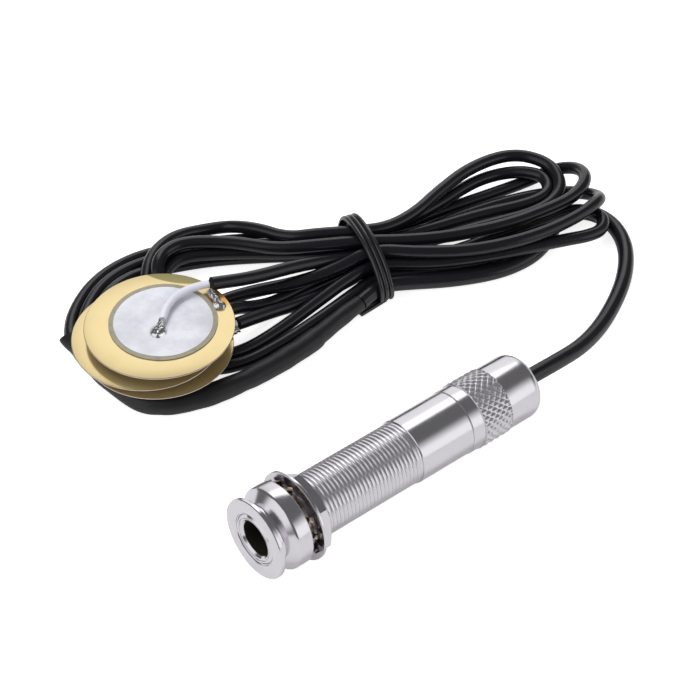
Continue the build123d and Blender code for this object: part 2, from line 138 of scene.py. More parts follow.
def feed(node, terms):
    """Sets a node's inputs to values, or links them to sockets or to other nodes' first outputs."""
    for key, term in terms.items():
        if isinstance(term, bpy.types.Node):
            term = term.outputs[0]
        if isinstance(term, bpy.types.NodeSocket):
            node.id_data.links.new(term, node.inputs[key])
        else:
            node.inputs[key].default_value = term


def add_node(tree, kind, terms=None, **settings):
    """A new node with its settings made and its inputs fed."""
    node = tree.nodes.new(kind)
    for name, value in settings.items():
        setattr(node, name, value)
    feed(node, terms or {})
    return node


def reckon(operation, *terms, kind="ShaderNodeMath"):
    """A maths node on its terms, in the tree that their first node or socket is in."""
    wired = (bpy.types.Node, bpy.types.NodeSocket)
    tree = next(term.id_data for term in terms if isinstance(term, wired))
    return add_node(tree, kind, dict(enumerate(terms)), operation=operation)


# the everyday sums by their own names
plus = partial(reckon, "ADD")
minus = partial(reckon, "SUBTRACT")
times = partial(reckon, "MULTIPLY")
divide = partial(reckon, "DIVIDE")
lesser = partial(reckon, "MINIMUM")
greater = partial(reckon, "MAXIMUM")
reckon_vector = partial(reckon, kind="ShaderNodeVectorMath")


def hold(value):
    """A value held between 0 and 1."""
    return lesser(greater(value, 0.0), 1.0)


def object_place(tree):
    """The socket of a shaded point's place on its object."""
    return add_node(tree, "ShaderNodeTexCoord").outputs["Object"]


def start_group(kind, name, takes, gives):
    """An empty node group with named sockets; gives it, its inputs and its end node."""
    group = bpy.data.node_groups.new(name, kind)
    for way, sockets in (("INPUT", takes), ("OUTPUT", gives)):
        for label, sort in sockets.items():
            group.interface.new_socket(label, in_out=way, socket_type="NodeSocket" + sort)
    return group, group.nodes.new("NodeGroupInput").outputs, group.nodes.new("NodeGroupOutput")


def build_skin_group():
    """Shader group: fine bump, and a roughness that wanders over the surface."""
    takes = dict.fromkeys(("Scale", "Roughness", "Spread", "Depth"), "Float")
    takes["Stretch"] = "Vector"
    gives = {"Roughness": "Float", "Normal": "Vector"}
    group, given, result = start_group("ShaderNodeTree", "made surface", takes, gives)
    place = object_place(group)
    drawn = reckon_vector("MULTIPLY", place, given["Stretch"])
    grain = {"Vector": drawn, "Scale": given["Scale"], "Detail": 4.0}
    fine = add_node(group, "ShaderNodeTexNoise", grain)
    cloud = {"Vector": place, "Scale": times(given["Scale"], 0.15)}
    wander = times(minus(add_node(group, "ShaderNodeTexNoise", cloud), 0.5), given["Spread"])
    bump = add_node(group, "ShaderNodeBump", {"Height": fine, "Distance": given["Depth"]})
    feed(result, {"Roughness": plus(wander, given["Roughness"]), "Normal": bump})
    return group


def build_patch_group():
    """Shader group: a ragged mask for tarnish, flux, stains and grey clouds."""
    takes = dict.fromkeys(("Scale", "Cover", "Edge"), "Float")
    group, given, result = start_group("ShaderNodeTree", "ragged patches", takes, {"Mask": "Float"})
    cloud = add_node(group, "ShaderNodeTexNoise", {
        "Vector": object_place(group), "Scale": given["Scale"], "Detail": 6.0, "Roughness": 0.62,
    })
    over = divide(minus(cloud, minus(1.0, given["Cover"])), given["Edge"])
    feed(result, {"Mask": hold(over)})
    return group


skin_group = build_skin_group()
patch_group = build_patch_group()


def new_finish(name, colour, plain=None):
    """A node material in one colour with plain shader values; gives it and its shader."""
    finish = bpy.data.materials.new(name)
    finish.use_nodes = True
    shader = finish.node_tree.nodes["Principled BSDF"]
    feed(shader, {"Base Color": colour, **(plain or {})})
    return finish, shader


def wear_skin(shader, skin, stretch):
    """Puts the made surface on a finish: its scale, roughness, spread of roughness and depth."""
    values = dict(zip(("Scale", "Roughness", "Spread", "Depth"), skin), Stretch=stretch)
    worn = add_node(shader.id_data, "ShaderNodeGroup", values, node_tree=skin_group).outputs
    feed(shader, {"Roughness": worn["Roughness"], "Normal": worn["Normal"]})


def blend_colour(shader, mask, under, over):
    """Lays a colour over another by a mask, on the shader; gives the mixed colour's socket."""
    terms = {"Factor": mask, "A": under, "B": over}
    mixed = add_node(shader.id_data, "ShaderNodeMix", terms, data_type="RGBA").outputs["Result"]
    feed(shader, {"Base Color": mixed})
    return mixed


def patch_colour(shader, clean, scale, cover, edge, marked, strength):
    """Marks a finish's colour with ragged patches; gives the mixed colour's socket."""
    values = {"Scale": scale, "Cover": cover, "Edge": edge}
    patches = add_node(shader.id_data, "ShaderNodeGroup", values, node_tree=patch_group)
    return blend_colour(shader, times(patches, strength), clean, marked)


def make_finish(name, colour, skin, marks=(), stretch=(1, 1, 1), plain=None):
    """A whole finish: skin as wear_skin takes it, and each mark as patch_colour takes it."""
    finish, shader = new_finish(name, colour, plain)
    wear_skin(shader, skin, stretch)
    for mark in marks:
        colour = patch_colour(shader, colour, *mark)
    return finish


def lay_line(name, route, diameter):
    """A smooth round cord through the control points of its route."""
    curve = bpy.data.curves.new(name, "CURVE")
    curve.dimensions = "3D"
    curve.bevel_depth = diameter / 2
    curve.bevel_resolution = 8
    curve.resolution_u = 10
    curve.use_fill_caps = True
    spline = curve.splines.new("NURBS")
    spline.points.add(len(route) - 1)
    for point, place in zip(spline.points, route):
        point.co = (*(HANK @ Vector(place)), 1.0)
    spline.order_u = 3
    spline.use_endpoint_u = True
    return add_object(name, curve)


def settle(piece, finish, node):
    """Gives a finished piece its material and its body, and hides the solid that it takes the place
    of.
    """
    if finish is not None:
        piece.data.materials.append(finish)
    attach(piece, "root")
    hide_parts(node)


# glossy extruded PVC, with the long shallow drag marks of the die
cable_pvc = make_finish(
    "cable_pvc", JACKET_BLACK, (700.0, 0.24, 0.12, 0.00002), plain={"Specular IOR Level": 0.42},
)
cable_routes = (CABLE_1_ROUTE, CABLE_2_ROUTE, CABLE_3_ROUTE)
for number, (route, length) in enumerate(zip(cable_routes, CABLE_LENGTHS), start=1):
    jacket = lay_line("disc_cable_%d_jacket" % number, route, DISC_CABLE_DIAMETER)
    settle(jacket, cable_pvc, "disc_cable_%d" % number)

# --------------------------------------
# Main cable: one thicker screened cable in the same PVC, from the jack's rear
# cap, round under the hank and into the splice at the tie.

MAIN_CABLE_DIAMETER = 0.0030
MAIN_ROUTE = in_metres(
    (24.98, -22.38, 6.345), (29.96, -18.2, 6.15), (34.93, -14.03, 5.8), (39.2, -9.9, 4.8),
    (43.4, -5, 3.2), (47.4, 1.4, 1.8), (50.8, 8.4, 1.5), (53.2, 15.2, 1.5), (54.2, 22, 1.5),
    (53.5, 27.4, 1.5), (51.3, 31.6, 1.5), (47.4, 34, 1.5), (43.4, 33.1, 1.5), (40.8, 29.4, 1.5),
    (39, 24.6, 1.5), (35.4, 20.2, 1.5), (29.6, 16.7, 1.5), (21, 14.5, 1.6), (13, 13.2, 2.2),
    (8.5, 12.2, 2.6), (6, 10.1, 2.6), (3.75, 7.48, 2.3),
)

main_cable = lay_line("main_cable_jacket", MAIN_ROUTE, MAIN_CABLE_DIAMETER)
settle(main_cable, cable_pvc, "main_cable")

# --------------------------------------
# Splice sleeve: a heat-shrink tube over the joint between the main cable and
# the three disc cables. It has shrunk tight on the cables, lumpy over the
# joints, and stayed flat and wide at the end where three cables come out.

SLEEVE_BLACK = (0.011, 0.011, 0.013, 1.0)
SLEEVE_WALL = 0.00035
SLEEVE_ROUND = 28
SLEEVE_LUMP = 0.00013
SLEEVE_LUMP_SCALE = 420.0
SLEEVE_LEAST_RADIUS = 0.0005
MOUTH_START = 0.88
SLEEVE_ROUTE = in_metres(
    (3.6, 7.3, 2.3), (-0.6, 3.2, 1.92), (-5.4, -2.7, 1.92), (-11, -7.8, 1.92), (-17, -12.4, 1.95),
    (-23.5, -16.2, 1.95), (-30.5, -18.9, 1.95), (-36.2, -16.9, 1.95), (-41.4, -11.9, 1.95),
    (-45.4, -6.6, 2.1), (-47.5, -1.2, 2.3),
)
# share of the sleeve's length, half width, half height, shift towards the hank
SLEEVE_SHAPE = (
    (0.00, 1.56, 1.56, 0.0), (0.02, 1.62, 1.60, 0.0), (0.16, 1.80, 1.80, 0.0),
    (0.175, 2.02, 1.98, 0.0), (0.36, 2.00, 1.95, 0.0), (0.44, 1.88, 1.88, 0.0),
    (0.50, 2.08, 1.98, 0.0), (0.57, 1.86, 1.86, 0.0), (0.64, 1.92, 1.90, 0.0),
    (0.70, 2.12, 1.98, 0.0), (0.77, 1.90, 1.88, 0.0), (0.86, 1.95, 1.88, 0.0),
    (0.94, 2.90, 1.80, 0.475), (1.00, 4.50, 1.68, 0.95),
)


def read_line(name, route):
    """The points along the line that a cord on this route would follow."""
    line = lay_line(name, route, 0.0)
    line.data.use_fill_caps = False
    seen = line.evaluated_get(bpy.context.evaluated_depsgraph_get())
    mesh = bpy.data.meshes.new_from_object(seen)
    points = [v.co.copy() for v in mesh.vertices]
    bpy.data.meshes.remove(mesh)
    bpy.data.objects.remove(line)
    return points


def ease_between(stations, share):
    """The row of values at a share of the way, eased between its stations."""
    for low, high in zip(stations, stations[1:]):
        if share <= high[0]:
            way = (share - low[0]) / (high[0] - low[0])
            way = way * way * (3 - 2 * way)
            return [a + (b - a) * way for a, b in zip(low[1:], high[1:])]
    return list(stations[-1][1:])


def shares_of(points):
    """How far along the line each point is, from 0 to 1."""
    run = [0.0]
    for a, b in zip(points, points[1:]):
        run.append(run[-1] + (b - a).length)
    return [r / run[-1] for r in run]


def turns(count, first=0.0):
    """Equal steps round a circle, in radians."""
    return [first + 2 * math.pi * k / count for k in range(count)]


def close_rings(rings, join_ends=False):
    """A mesh skin over rings of points; open ends are closed flat."""
    skin = bmesh.new()
    rows = [[skin.verts.new(p) for p in ring] for ring in rings]
    pairs = list(zip(rows, rows[1:]))
    if join_ends:
        pairs.append((rows[-1], rows[0]))
    for low, high in pairs:
        for i in range(len(low)):
            j = (i + 1) % len(low)
            skin.faces.new((low[i], low[j], high[j], high[i]))
    if not join_ends:
        skin.faces.new(rows[0])
        skin.faces.new(rows[-1])
    bmesh.ops.recalc_face_normals(skin, faces=skin.faces)
    return skin


def smooth_faces(mesh, sharp_angle):
    """Shades a mesh smooth, but sharp where its faces turn by more than an angle."""
    mesh.shade_smooth()
    mesh.set_sharp_from_angle(angle=math.radians(sharp_angle))


def finish_mesh(name, skin, sharp_angle=35.0):
    """A smooth-shaded object from a bmesh."""
    mesh = bpy.data.meshes.new(name)
    skin.to_mesh(mesh)
    skin.free()
    smooth_faces(mesh, sharp_angle)
    return add_object(name, mesh)


def sleeve_ring(i, inset=0.0):
    """One ring of the sleeve's skin, in by a wall's thickness where asked."""
    ahead = sleeve_path[min(i + 1, len(sleeve_path) - 1)] - sleeve_path[max(i - 1, 0)]
    side = Vector((ahead.y, -ahead.x, 0.0)).normalized()
    up = side.cross(ahead).normalized()
    half_width, half_height, shift = ease_between(SLEEVE_SHAPE, sleeve_shares[i])
    middle = sleeve_path[i] + side * shift * 0.001
    ring = []
    for turn in turns(SLEEVE_ROUND):
        out = side * math.cos(turn) * (half_width * 0.001 - inset)
        out += up * math.sin(turn) * (half_height * 0.001 - inset)
        lump = SLEEVE_LUMP * noise.noise((middle + out) * SLEEVE_LUMP_SCALE)
        ring.append(middle + out * (1.0 + lump / max(out.length, SLEEVE_LEAST_RADIUS)))
    return ring


sleeve_path = read_line("sleeve_line", SLEEVE_ROUTE)
sleeve_shares = shares_of(sleeve_path)
tube_last = max(i for i, share in enumerate(sleeve_shares) if share <= MOUTH_START)
# satin black shrink tube, its roughness wandering over the surface
heat_shrink = make_finish(
    "heat_shrink", SLEEVE_BLACK, (520.0, 0.42, 0.25, 0.00006), plain={"Specular IOR Level": 0.40},
)
tube_rings = [sleeve_ring(i) for i in range(tube_last + 1)]
sleeve = finish_mesh("splice_sleeve_skin", close_rings(tube_rings), sharp_angle=50.0)
settle(sleeve, heat_shrink, "splice_sleeve")
mouth_steps = range(tube_last - 1, len(sleeve_path))
mouth_rings = [sleeve_ring(i) for i in mouth_steps]
mouth_rings += [sleeve_ring(i, SLEEVE_WALL) for i in reversed(mouth_steps)]
mouth = finish_mesh("splice_sleeve_mouth", close_rings(mouth_rings), sharp_angle=50.0)
settle(mouth, heat_shrink, "splice_sleeve")

# --------------------------------------
# Bundle tie: a strip of soft ribbed PVC, three round ribs wide, closed round
# the whole bundle. Its cut end lies on the table under the main cable.

TIE_FRAME = (
    HANK @ Matrix.Translation((0.0043, 0.0194, 0.0)) @ Matrix.Rotation(math.radians(23.7), 4, "Z")
)
TIE_WIDTH = 2.9
TIE_THICKNESS = 0.68
TIE_RIBS = 3
TIE_GROOVE = 0.42
# the way round inside the strip: across the bundle and up, in millimetres
TIE_INSIDE = (
    (-7.4, 0.68), (9.6, 0.68), (10.9, 1.9), (10.6, 4.2), (7.6, 7.2), (2.6, 9.0),
    (-3.8, 9.0), (-7.0, 7.3), (-8.5, 3.6), (-8.3, 1.6),
)
TAIL_PLACE = Matrix.Translation((-2.9, -10.2, 0.32)) @ Matrix.Rotation(math.radians(17), 4, "Z")
TAIL_LENGTH = 6.2
TAIL_WIDTH = 2.0
TAIL_THICKNESS = 0.6
TAIL_GROOVE = 0.22
TAIL_CURL = 0.12
TAIL_STEPS = 12
TIE_BLACK = (0.012, 0.012, 0.014, 1.0)


def soften_loop(points, rounds):
    """Cuts the corners off a closed loop, a few times over."""
    for _ in range(rounds):
        cut = []
        for a, b in zip(points, points[1:] + points[:1]):
            cut.append(a.lerp(b, 0.25))
            cut.append(a.lerp(b, 0.75))
        points = cut
    return points


def rib_section(width, thickness, groove):
    """The strip's cross-section: round ribs side by side on a flat back."""
    section = []
    steps = 10 * TIE_RIBS
    for k in range(steps + 1):
        across = k / steps
        lobe = abs(math.sin(math.pi * across * TIE_RIBS)) ** 0.6
        section.append((width * (across - 0.5), thickness - groove * (1 - lobe)))
    return section + [(width / 2, 0.0), (-width / 2, 0.0)]


# soft PVC, satin, with fine pull marks
tie_pvc = make_finish(
    "tie_pvc", TIE_BLACK, (800.0, 0.20, 0.14, 0.00002), plain={"Specular IOR Level": 0.70},
)
tie_way = soften_loop([Vector((q, z, 0.0)) for q, z in TIE_INSIDE], 4)
tie_rings = []
for i, here in enumerate(tie_way):
    ahead = tie_way[(i + 1) % len(tie_way)] - tie_way[i - 1]
    out = Vector((ahead.y, -ahead.x, 0.0)).normalized()
    ring = []
    for across, height in rib_section(TIE_WIDTH, TIE_THICKNESS, TIE_GROOVE):
        spot = here + out * height
        ring.append(TIE_FRAME @ (Vector((across, -spot.x, spot.y)) * 0.001))
    tie_rings.append(ring)
tie_band = finish_mesh("bundle_tie_band", close_rings(tie_rings, join_ends=True))
settle(tie_band, tie_pvc, "bundle_tie")

tail_rings = []
for k in range(TAIL_STEPS + 1):
    share = k / TAIL_STEPS
    lift = TAIL_CURL * share ** 2 - TAIL_THICKNESS / 2
    ring = []
    for across, height in rib_section(TAIL_WIDTH, TAIL_THICKNESS, TAIL_GROOVE):
        spot = TAIL_PLACE @ Vector((TAIL_LENGTH * (share - 0.5), across, height + lift))
        ring.append(TIE_FRAME @ (spot * 0.001))
    tail_rings.append(ring)
tie_tail = finish_mesh("bundle_tie_tail", close_rings(tail_rings))
settle(tie_tail, tie_pvc, "bundle_tie")

# --------------------------------------
# Strap button: turned in one piece from brass and nickel plated. A thin
# flange, a narrow neck for the strap's hole, and a collar that bears on the
# instrument. Stations along the jack run back from its mouth, in millimetres.

JACK = (
    Matrix.Translation((-0.0302, -0.0276, 0.0085035)) @ Matrix.Rotation(math.radians(2.42), 4, "Y")
)
TURNED_SEGMENTS = 144
SPIGOT_RADIUS = 4.60
COLLAR_END = 6.60
NICKEL = (0.655, 0.635, 0.675, 1.0)
TARNISH = (0.42, 0.33, 0.25, 1.0)
BUTTON_OUTLINE = (
    (0.30, SPIGOT_RADIUS + 0.03), (0.26, 4.78), (0.08, 4.86), (0.0, 4.98), (0.0, 7.10),
    (0.06, 7.25), (0.20, 7.32), (0.72, 7.32), (0.86, 7.25), (0.92, 7.10), (0.95, 6.20),
    (1.05, 5.90), (1.25, 5.70), (1.55, 5.60), (2.05, 5.60), (2.20, 5.66), (3.62, 7.27),
    (3.74, 7.38), (3.90, 7.46), (4.05, 7.50), (6.40, 7.50), (6.54, 7.44),
    (COLLAR_END, 7.30), (COLLAR_END, SPIGOT_RADIUS),
)


def turn_piece(outline, segments=TURNED_SEGMENTS, first=0.0, reach=None):
    """A ring in the jack's own frame: a loop of (along, radius) spun, cut in to reach(turn)."""
    rings = []
    for along, radius in outline:
        ring = []
        for turn in turns(segments, first):
            out = min(radius, reach(turn)) if reach else radius
            ring.append(Vector((along, out * math.cos(turn), out * math.sin(turn))) * 0.001)
        rings.append(ring)
    return close_rings(rings, join_ends=True)


def make_nickel(name, roughness, turned, tarnish, metallic=0.97):
    """Bright nickel plate over turning marks, faintly tarnished where hands don't reach."""
    skin = (260.0, roughness, 0.10, turned)
    marks = [(330.0, 0.40, 0.22, TARNISH, tarnish)]
    return make_finish(name, NICKEL, skin, marks, (9.0, 1.0, 1.0), {"Metallic": metallic})


def fit_to_jack(piece, finish, node):
    """Takes a piece from the jack's own frame to its place, and settles it."""
    piece.data.transform(JACK)
    settle(piece, finish, node)


nickel = make_nickel("nickel", 0.17, 0.000004, 0.25)
strap_button = finish_mesh("strap_button_turned", turn_piece(BUTTON_OUTLINE), sharp_angle=22.0)
fit_to_jack(strap_button, nickel, "strap_button")

# --------------------------------------
# Toothed lock washer: a spring-steel ring whose teeth are twisted out of flat,
# to bite the instrument and the flat washer. Fourteen teeth round the rim.

TEETH = 14
TOOTH_TWIST = math.radians(50)
TOOTH_SIZE = (0.0015, 0.00085, 0.00070)
TOOTH_PROUD = 0.12
LOCK_RADIUS = 6.30
LOCK_MIDDLE = 7.45
LOCK_THICKNESS = 0.55
BARREL_CLEAR = 5.77
SPRING_STEEL = (0.46, 0.40, 0.34, 1.0)
STEEL_STAIN = (0.10, 0.06, 0.035, 1.0)


def start_tree(name, sizes, vectors=()):
    """An empty geometry tree that takes a piece, its sizes and a finish, and gives a piece."""
    takes = {"Geometry": "Geometry", **dict.fromkeys(sizes, "Float")}
    takes.update({**dict.fromkeys(vectors, "Vector"), "Finish": "Material"})
    return start_group("GeometryNodeTree", name, takes, {"Geometry": "Geometry"})


def end_tree(tree, given, result, geometry, only=True):
    """Ends a tree in Realize Instances and Set Material, on the whole or where asked."""
    real = add_node(tree, "GeometryNodeRealizeInstances", {0: geometry})
    painted = add_node(tree, "GeometryNodeSetMaterial", {
        "Geometry": real, "Selection": only, "Material": given["Finish"],
    })
    feed(result, {0: painted})
    return tree


def grow(piece, tree, sizes, sharp_angle=28.0):
    """Runs a tree on a piece and keeps the result as its plain mesh."""
    modifier = piece.modifiers.new("shape", "NODES")
    modifier.node_group = tree
    for socket in tree.interface.items_tree:
        if socket.in_out == "INPUT" and socket.name in sizes:
            modifier[socket.identifier] = sizes[socket.name]
    seen = piece.evaluated_get(bpy.context.evaluated_depsgraph_get())
    mesh = bpy.data.meshes.new_from_object(seen)
    piece.modifiers.remove(modifier)
    smooth_faces(mesh, sharp_angle)
    piece.data = mesh


def build_teeth_tree():
    """Geometry tree: twisted teeth set round the rim of a washer on the x axis."""
    tree, given, result = start_tree("twisted teeth", ("Count", "Radius", "Twist"), ("Tooth Size",))
    circle = {"Vertices": given["Count"], "Radius": given["Radius"]}
    rim = add_node(tree, "GeometryNodeMeshCircle", circle)
    tooth = add_node(tree, "GeometryNodeMeshCube", {"Size": given["Tooth Size"]})
    order = add_node(tree, "GeometryNodeInputIndex")
    turn = times(divide(order, given["Count"]), 2 * math.pi)
    lean = add_node(tree, "ShaderNodeCombineXYZ", {"X": given["Twist"], "Z": turn})
    spread = add_node(tree, "GeometryNodeInstanceOnPoints", {
        "Points": rim, "Instance": tooth, "Rotation": lean,
    })
    stood = add_node(tree, "GeometryNodeTransform", {
        "Geometry": spread, "Rotation": (0.0, math.radians(90), 0.0),
        "Translation": (LOCK_MIDDLE * 0.001, 0.0, 0.0),
    })
    whole = add_node(tree, "GeometryNodeJoinGeometry", {0: stood})
    feed(whole, {0: given["Geometry"]})
    return end_tree(tree, given, result, whole)


lock_low = LOCK_MIDDLE - LOCK_THICKNESS / 2
lock_high = LOCK_MIDDLE + LOCK_THICKNESS / 2
lock_outline = (
    (lock_low, BARREL_CLEAR), (lock_low, LOCK_RADIUS),
    (lock_high, LOCK_RADIUS), (lock_high, BARREL_CLEAR),
)
# hardened steel, oiled, with brown stain in ragged patches
spring_steel = make_finish(
    "spring_steel", SPRING_STEEL, (900.0, 0.30, 0.25, 0.00002),
    [(620.0, 0.56, 0.12, STEEL_STAIN, 0.9)], plain={"Metallic": 1.0},
)
lock_washer = finish_mesh("lock_washer_toothed", turn_piece(lock_outline))
grow(lock_washer, build_teeth_tree(), {
    "Count": float(TEETH), "Radius": (LOCK_RADIUS + TOOTH_PROUD) * 0.001, "Twist": TOOTH_TWIST,
    "Tooth Size": TOOTH_SIZE, "Finish": spring_steel,
})
fit_to_jack(lock_washer, None, "lock_washer")

# --------------------------------------
# Flat washer and hexagon nut: they clamp the instrument's wall against the
# collar. Both plated like the button; the nut has a chamfer on each side.

WASHER_START = 8.30
WASHER_END = 8.90
WASHER_RADIUS = 8.13
NUT_END = 11.0
NUT_FLATS = 13.0
NUT_SPIN = math.radians(19)
NUT_SIDE_STEPS = 24
NUT_FACE_RADIUS = 6.75
NUT_CORNER_RADIUS = 7.55
NUT_CHAMFER = 0.46
NUT_CHAMFER_STEPS = 6
WASHER_OUTLINE = (
    (WASHER_START, BARREL_CLEAR), (WASHER_START, WASHER_RADIUS - 0.12),
    (WASHER_START + 0.04, WASHER_RADIUS - 0.04), (WASHER_START + 0.14, WASHER_RADIUS),
    (WASHER_END - 0.10, WASHER_RADIUS), (WASHER_END, WASHER_RADIUS - 0.08),
    (WASHER_END, BARREL_CLEAR),
)


def hex_radius(turn):
    """The hexagon's radius in the direction of a turn."""
    sixth = math.pi / 3
    off = (turn - NUT_SPIN) % sixth - sixth / 2
    return NUT_FLATS / 2 / math.cos(off)


def nut_outline():
    """The nut's loop: its chamfer cone, the same cone mirrored, and the hole."""
    cone = []
    for k in range(NUT_CHAMFER_STEPS + 1):
        share = k / NUT_CHAMFER_STEPS
        grown = (NUT_CORNER_RADIUS - NUT_FACE_RADIUS) * share
        cone.append((WASHER_END + NUT_CHAMFER * share, NUT_FACE_RADIUS + grown))
    far_cone = [(WASHER_END + NUT_END - along, radius) for along, radius in reversed(cone)]
    return [(WASHER_END, BARREL_CLEAR)] + cone + far_cone + [(NUT_END, BARREL_CLEAR)]


flat_washer = finish_mesh("flat_washer_stamped", turn_piece(WASHER_OUTLINE), sharp_angle=25.0)
fit_to_jack(flat_washer, nickel, "flat_washer")
nut_skin = turn_piece(nut_outline(), 6 * NUT_SIDE_STEPS, NUT_SPIN + math.pi / 6, hex_radius)
hex_nut = finish_mesh("hex_nut_chamfered", nut_skin, sharp_angle=15.0)
fit_to_jack(hex_nut, nickel, "hex_nut")

# --------------------------------------
# Barrel: brass tube, nickel plated, with a fine thread rolled on its front
# half and a smooth rear. Its nose is the spigot that holds the strap button,
# and its bore takes the plug. Inside the bore the faces get a near-black
# finish, a painted shade for the deep shadow there.

BORE_RADIUS = 3.25
BORE_START = 0.50
CHAMBER_RADIUS = 4.70
CHAMBER_START = 11.0
THREAD_RADIUS = 5.67
THREAD_LEAST_RADIUS = 5.4
THREAD_END = 32.0
THREAD_PITCH = 0.80
THREAD_DEPTH = 0.17
THREAD_RUN_OUT = 0.8
THREAD_CREST = 1.7
THREAD_RINGS_PER_PITCH = 12
TUBE_RADIUS = 5.91
TUBE_END = 43.3
BARREL_REAR = 46.0
REAR_SPIGOT_RADIUS = 5.30
# painted shade: near-black colour for the faces inside the bore
BORE_PAINTED_SHADE = (0.020, 0.017, 0.014, 1.0)


def fine_run(start, end, radius, step):
    """Outline points close together along a cylinder."""
    count = round((end - start) / step)
    return [(start + (end - start) * k / count, radius) for k in range(count + 1)]


def split(vector):
    """The sockets of a vector's three parts."""
    return add_node(vector.id_data, "ShaderNodeSeparateXYZ", {0: vector}).outputs


def scaled(vector, factor):
    """A vector made longer or shorter by a factor."""
    longer = reckon_vector("SCALE", vector)
    feed(longer, {"Scale": factor})
    return longer


def read_turned_skin(tree):
    """For a turned piece: each point's place along it, its turn, radius and way outwards."""
    parts = split(add_node(tree, "GeometryNodeInputPosition"))
    turn = divide(reckon("ARCTAN2", parts["Z"], parts["Y"]), 2 * math.pi)
    flat = add_node(tree, "ShaderNodeCombineXYZ", {"Y": parts["Y"], "Z": parts["Z"]})
    radius = reckon_vector("LENGTH", flat).outputs["Value"]
    return parts["X"], turn, radius, reckon_vector("NORMALIZE", flat)


def press_skin(tree, given, result, outward, raised, where, painted):
    """Moves the chosen points outwards, and ends the tree with its finish on the painted part."""
    moved = add_node(tree, "GeometryNodeSetPosition", {
        "Geometry": given["Geometry"], "Selection": where, "Offset": scaled(outward, raised),
    })
    return end_tree(tree, given, result, moved, only=painted)


def ridge(phase):
    """A straight-sided wave: 0 at each whole number and 1 half way between."""
    wave = minus(times(reckon("FRACT", phase), 2.0), 1.0)
    return minus(1.0, reckon("ABSOLUTE", wave))


def build_thread_tree():
    """Geometry tree: sinks a helical vee groove into the cylinder between two stations."""
    sizes = ("Pitch", "Depth", "Start", "End", "Run Out", "Least Radius")
    tree, given, result = start_tree("rolled thread", sizes)
    along, turn, radius, outward = read_turned_skin(tree)
    crest = times(ridge(minus(divide(along, given["Pitch"]), turn)), THREAD_CREST)
    raised = times(minus(lesser(crest, 1.0), 1.0), given["Depth"])
    inside = lesser(minus(along, given["Start"]), minus(given["End"], along))
    inside = hold(divide(inside, given["Run Out"]))
    outer = reckon("GREATER_THAN", radius, given["Least Radius"])
    threaded = times(outer, reckon("GREATER_THAN", inside, 0.0))
    raised = times(raised, inside)
    return press_skin(tree, given, result, outward, raised, outer, threaded)


thread_step = THREAD_PITCH / THREAD_RINGS_PER_PITCH
barrel_outline = [
    (0.03, 3.72), (0.10, 3.60), (BORE_START, BORE_RADIUS), (CHAMBER_START, BORE_RADIUS),
    (CHAMBER_START, CHAMBER_RADIUS), (BARREL_REAR, CHAMBER_RADIUS),
    (BARREL_REAR, REAR_SPIGOT_RADIUS), (TUBE_END, REAR_SPIGOT_RADIUS),
    (TUBE_END, TUBE_RADIUS - 0.08), (TUBE_END - 0.08, TUBE_RADIUS),
    (THREAD_END + 0.12, TUBE_RADIUS), (THREAD_END, TUBE_RADIUS - 0.12), (THREAD_END, THREAD_RADIUS),
]
barrel_outline += fine_run(COLLAR_END, THREAD_END - 0.1, THREAD_RADIUS, thread_step)[::-1]
barrel_outline += [
    (COLLAR_END, SPIGOT_RADIUS), (0.40, SPIGOT_RADIUS), (0.30, 4.56), (0.06, 4.30), (0.0, 4.22),
    (0.0, 4.08), (0.05, 4.02), (0.20, 3.96), (0.20, 3.86), (0.05, 3.80), (0.03, 3.78),
]

nickel_thread = make_nickel("nickel_thread", 0.25, 0.000002, 0.14, 0.84)
# painted shade: a near-black, dull finish that stands in for the deep shadow inside the bore
bore_painted_shade = make_finish(
    "bore_painted_shade", BORE_PAINTED_SHADE, (700.0, 0.7, 0.2, 0.00002), plain={"Specular IOR Level": 0.1},
)
barrel_finishes = (nickel, nickel_thread, bore_painted_shade)
barrel = finish_mesh("barrel_threaded", turn_piece(barrel_outline), sharp_angle=22.0)
for finish in barrel_finishes:
    barrel.data.materials.append(finish)
# painted shade: faces inside the bore and the chamber take the near-black finish
for face in barrel.data.polygons:
    along = face.center.x * 1000
    out = math.hypot(face.center.y, face.center.z) * 1000
    in_bore = along > BORE_START and out < BORE_RADIUS + 0.3
    in_chamber = along > CHAMBER_START and out < CHAMBER_RADIUS + 0.01
    if in_bore or in_chamber:
        face.material_index = barrel_finishes.index(bore_painted_shade)
grow(barrel, build_thread_tree(), {
    "Pitch": THREAD_PITCH * 0.001, "Depth": THREAD_DEPTH * 0.001,
    "Start": (COLLAR_END + 0.1) * 0.001, "End": (THREAD_END - 0.2) * 0.001,
    "Run Out": THREAD_RUN_OUT * 0.001, "Least Radius": THREAD_LEAST_RADIUS * 0.001,
    "Finish": nickel_thread,
}, sharp_angle=18.0)
fit_to_jack(barrel, None, "barrel")

# --------------------------------------
# Rear cap: screws on behind the barrel and covers the solder lugs. A band of
# diamond knurling gives grip, and the domed end has a hole for the cable.

CAP_RADIUS = 6.02
CAP_END = 60.5
CAP_CAVITY_END = 57.0
CAP_CAVITY_RADIUS = 5.40
CAP_HOLE_RADIUS = 1.65
KNURL_RADIUS = 6.30
KNURL_LEAST_RADIUS = 6.25
KNURL_START = 45.9
KNURL_END = 52.2
KNURL_COUNT = 29
KNURL_PITCH = 1.40
KNURL_DEPTH = 0.29
KNURL_STEPS = 12


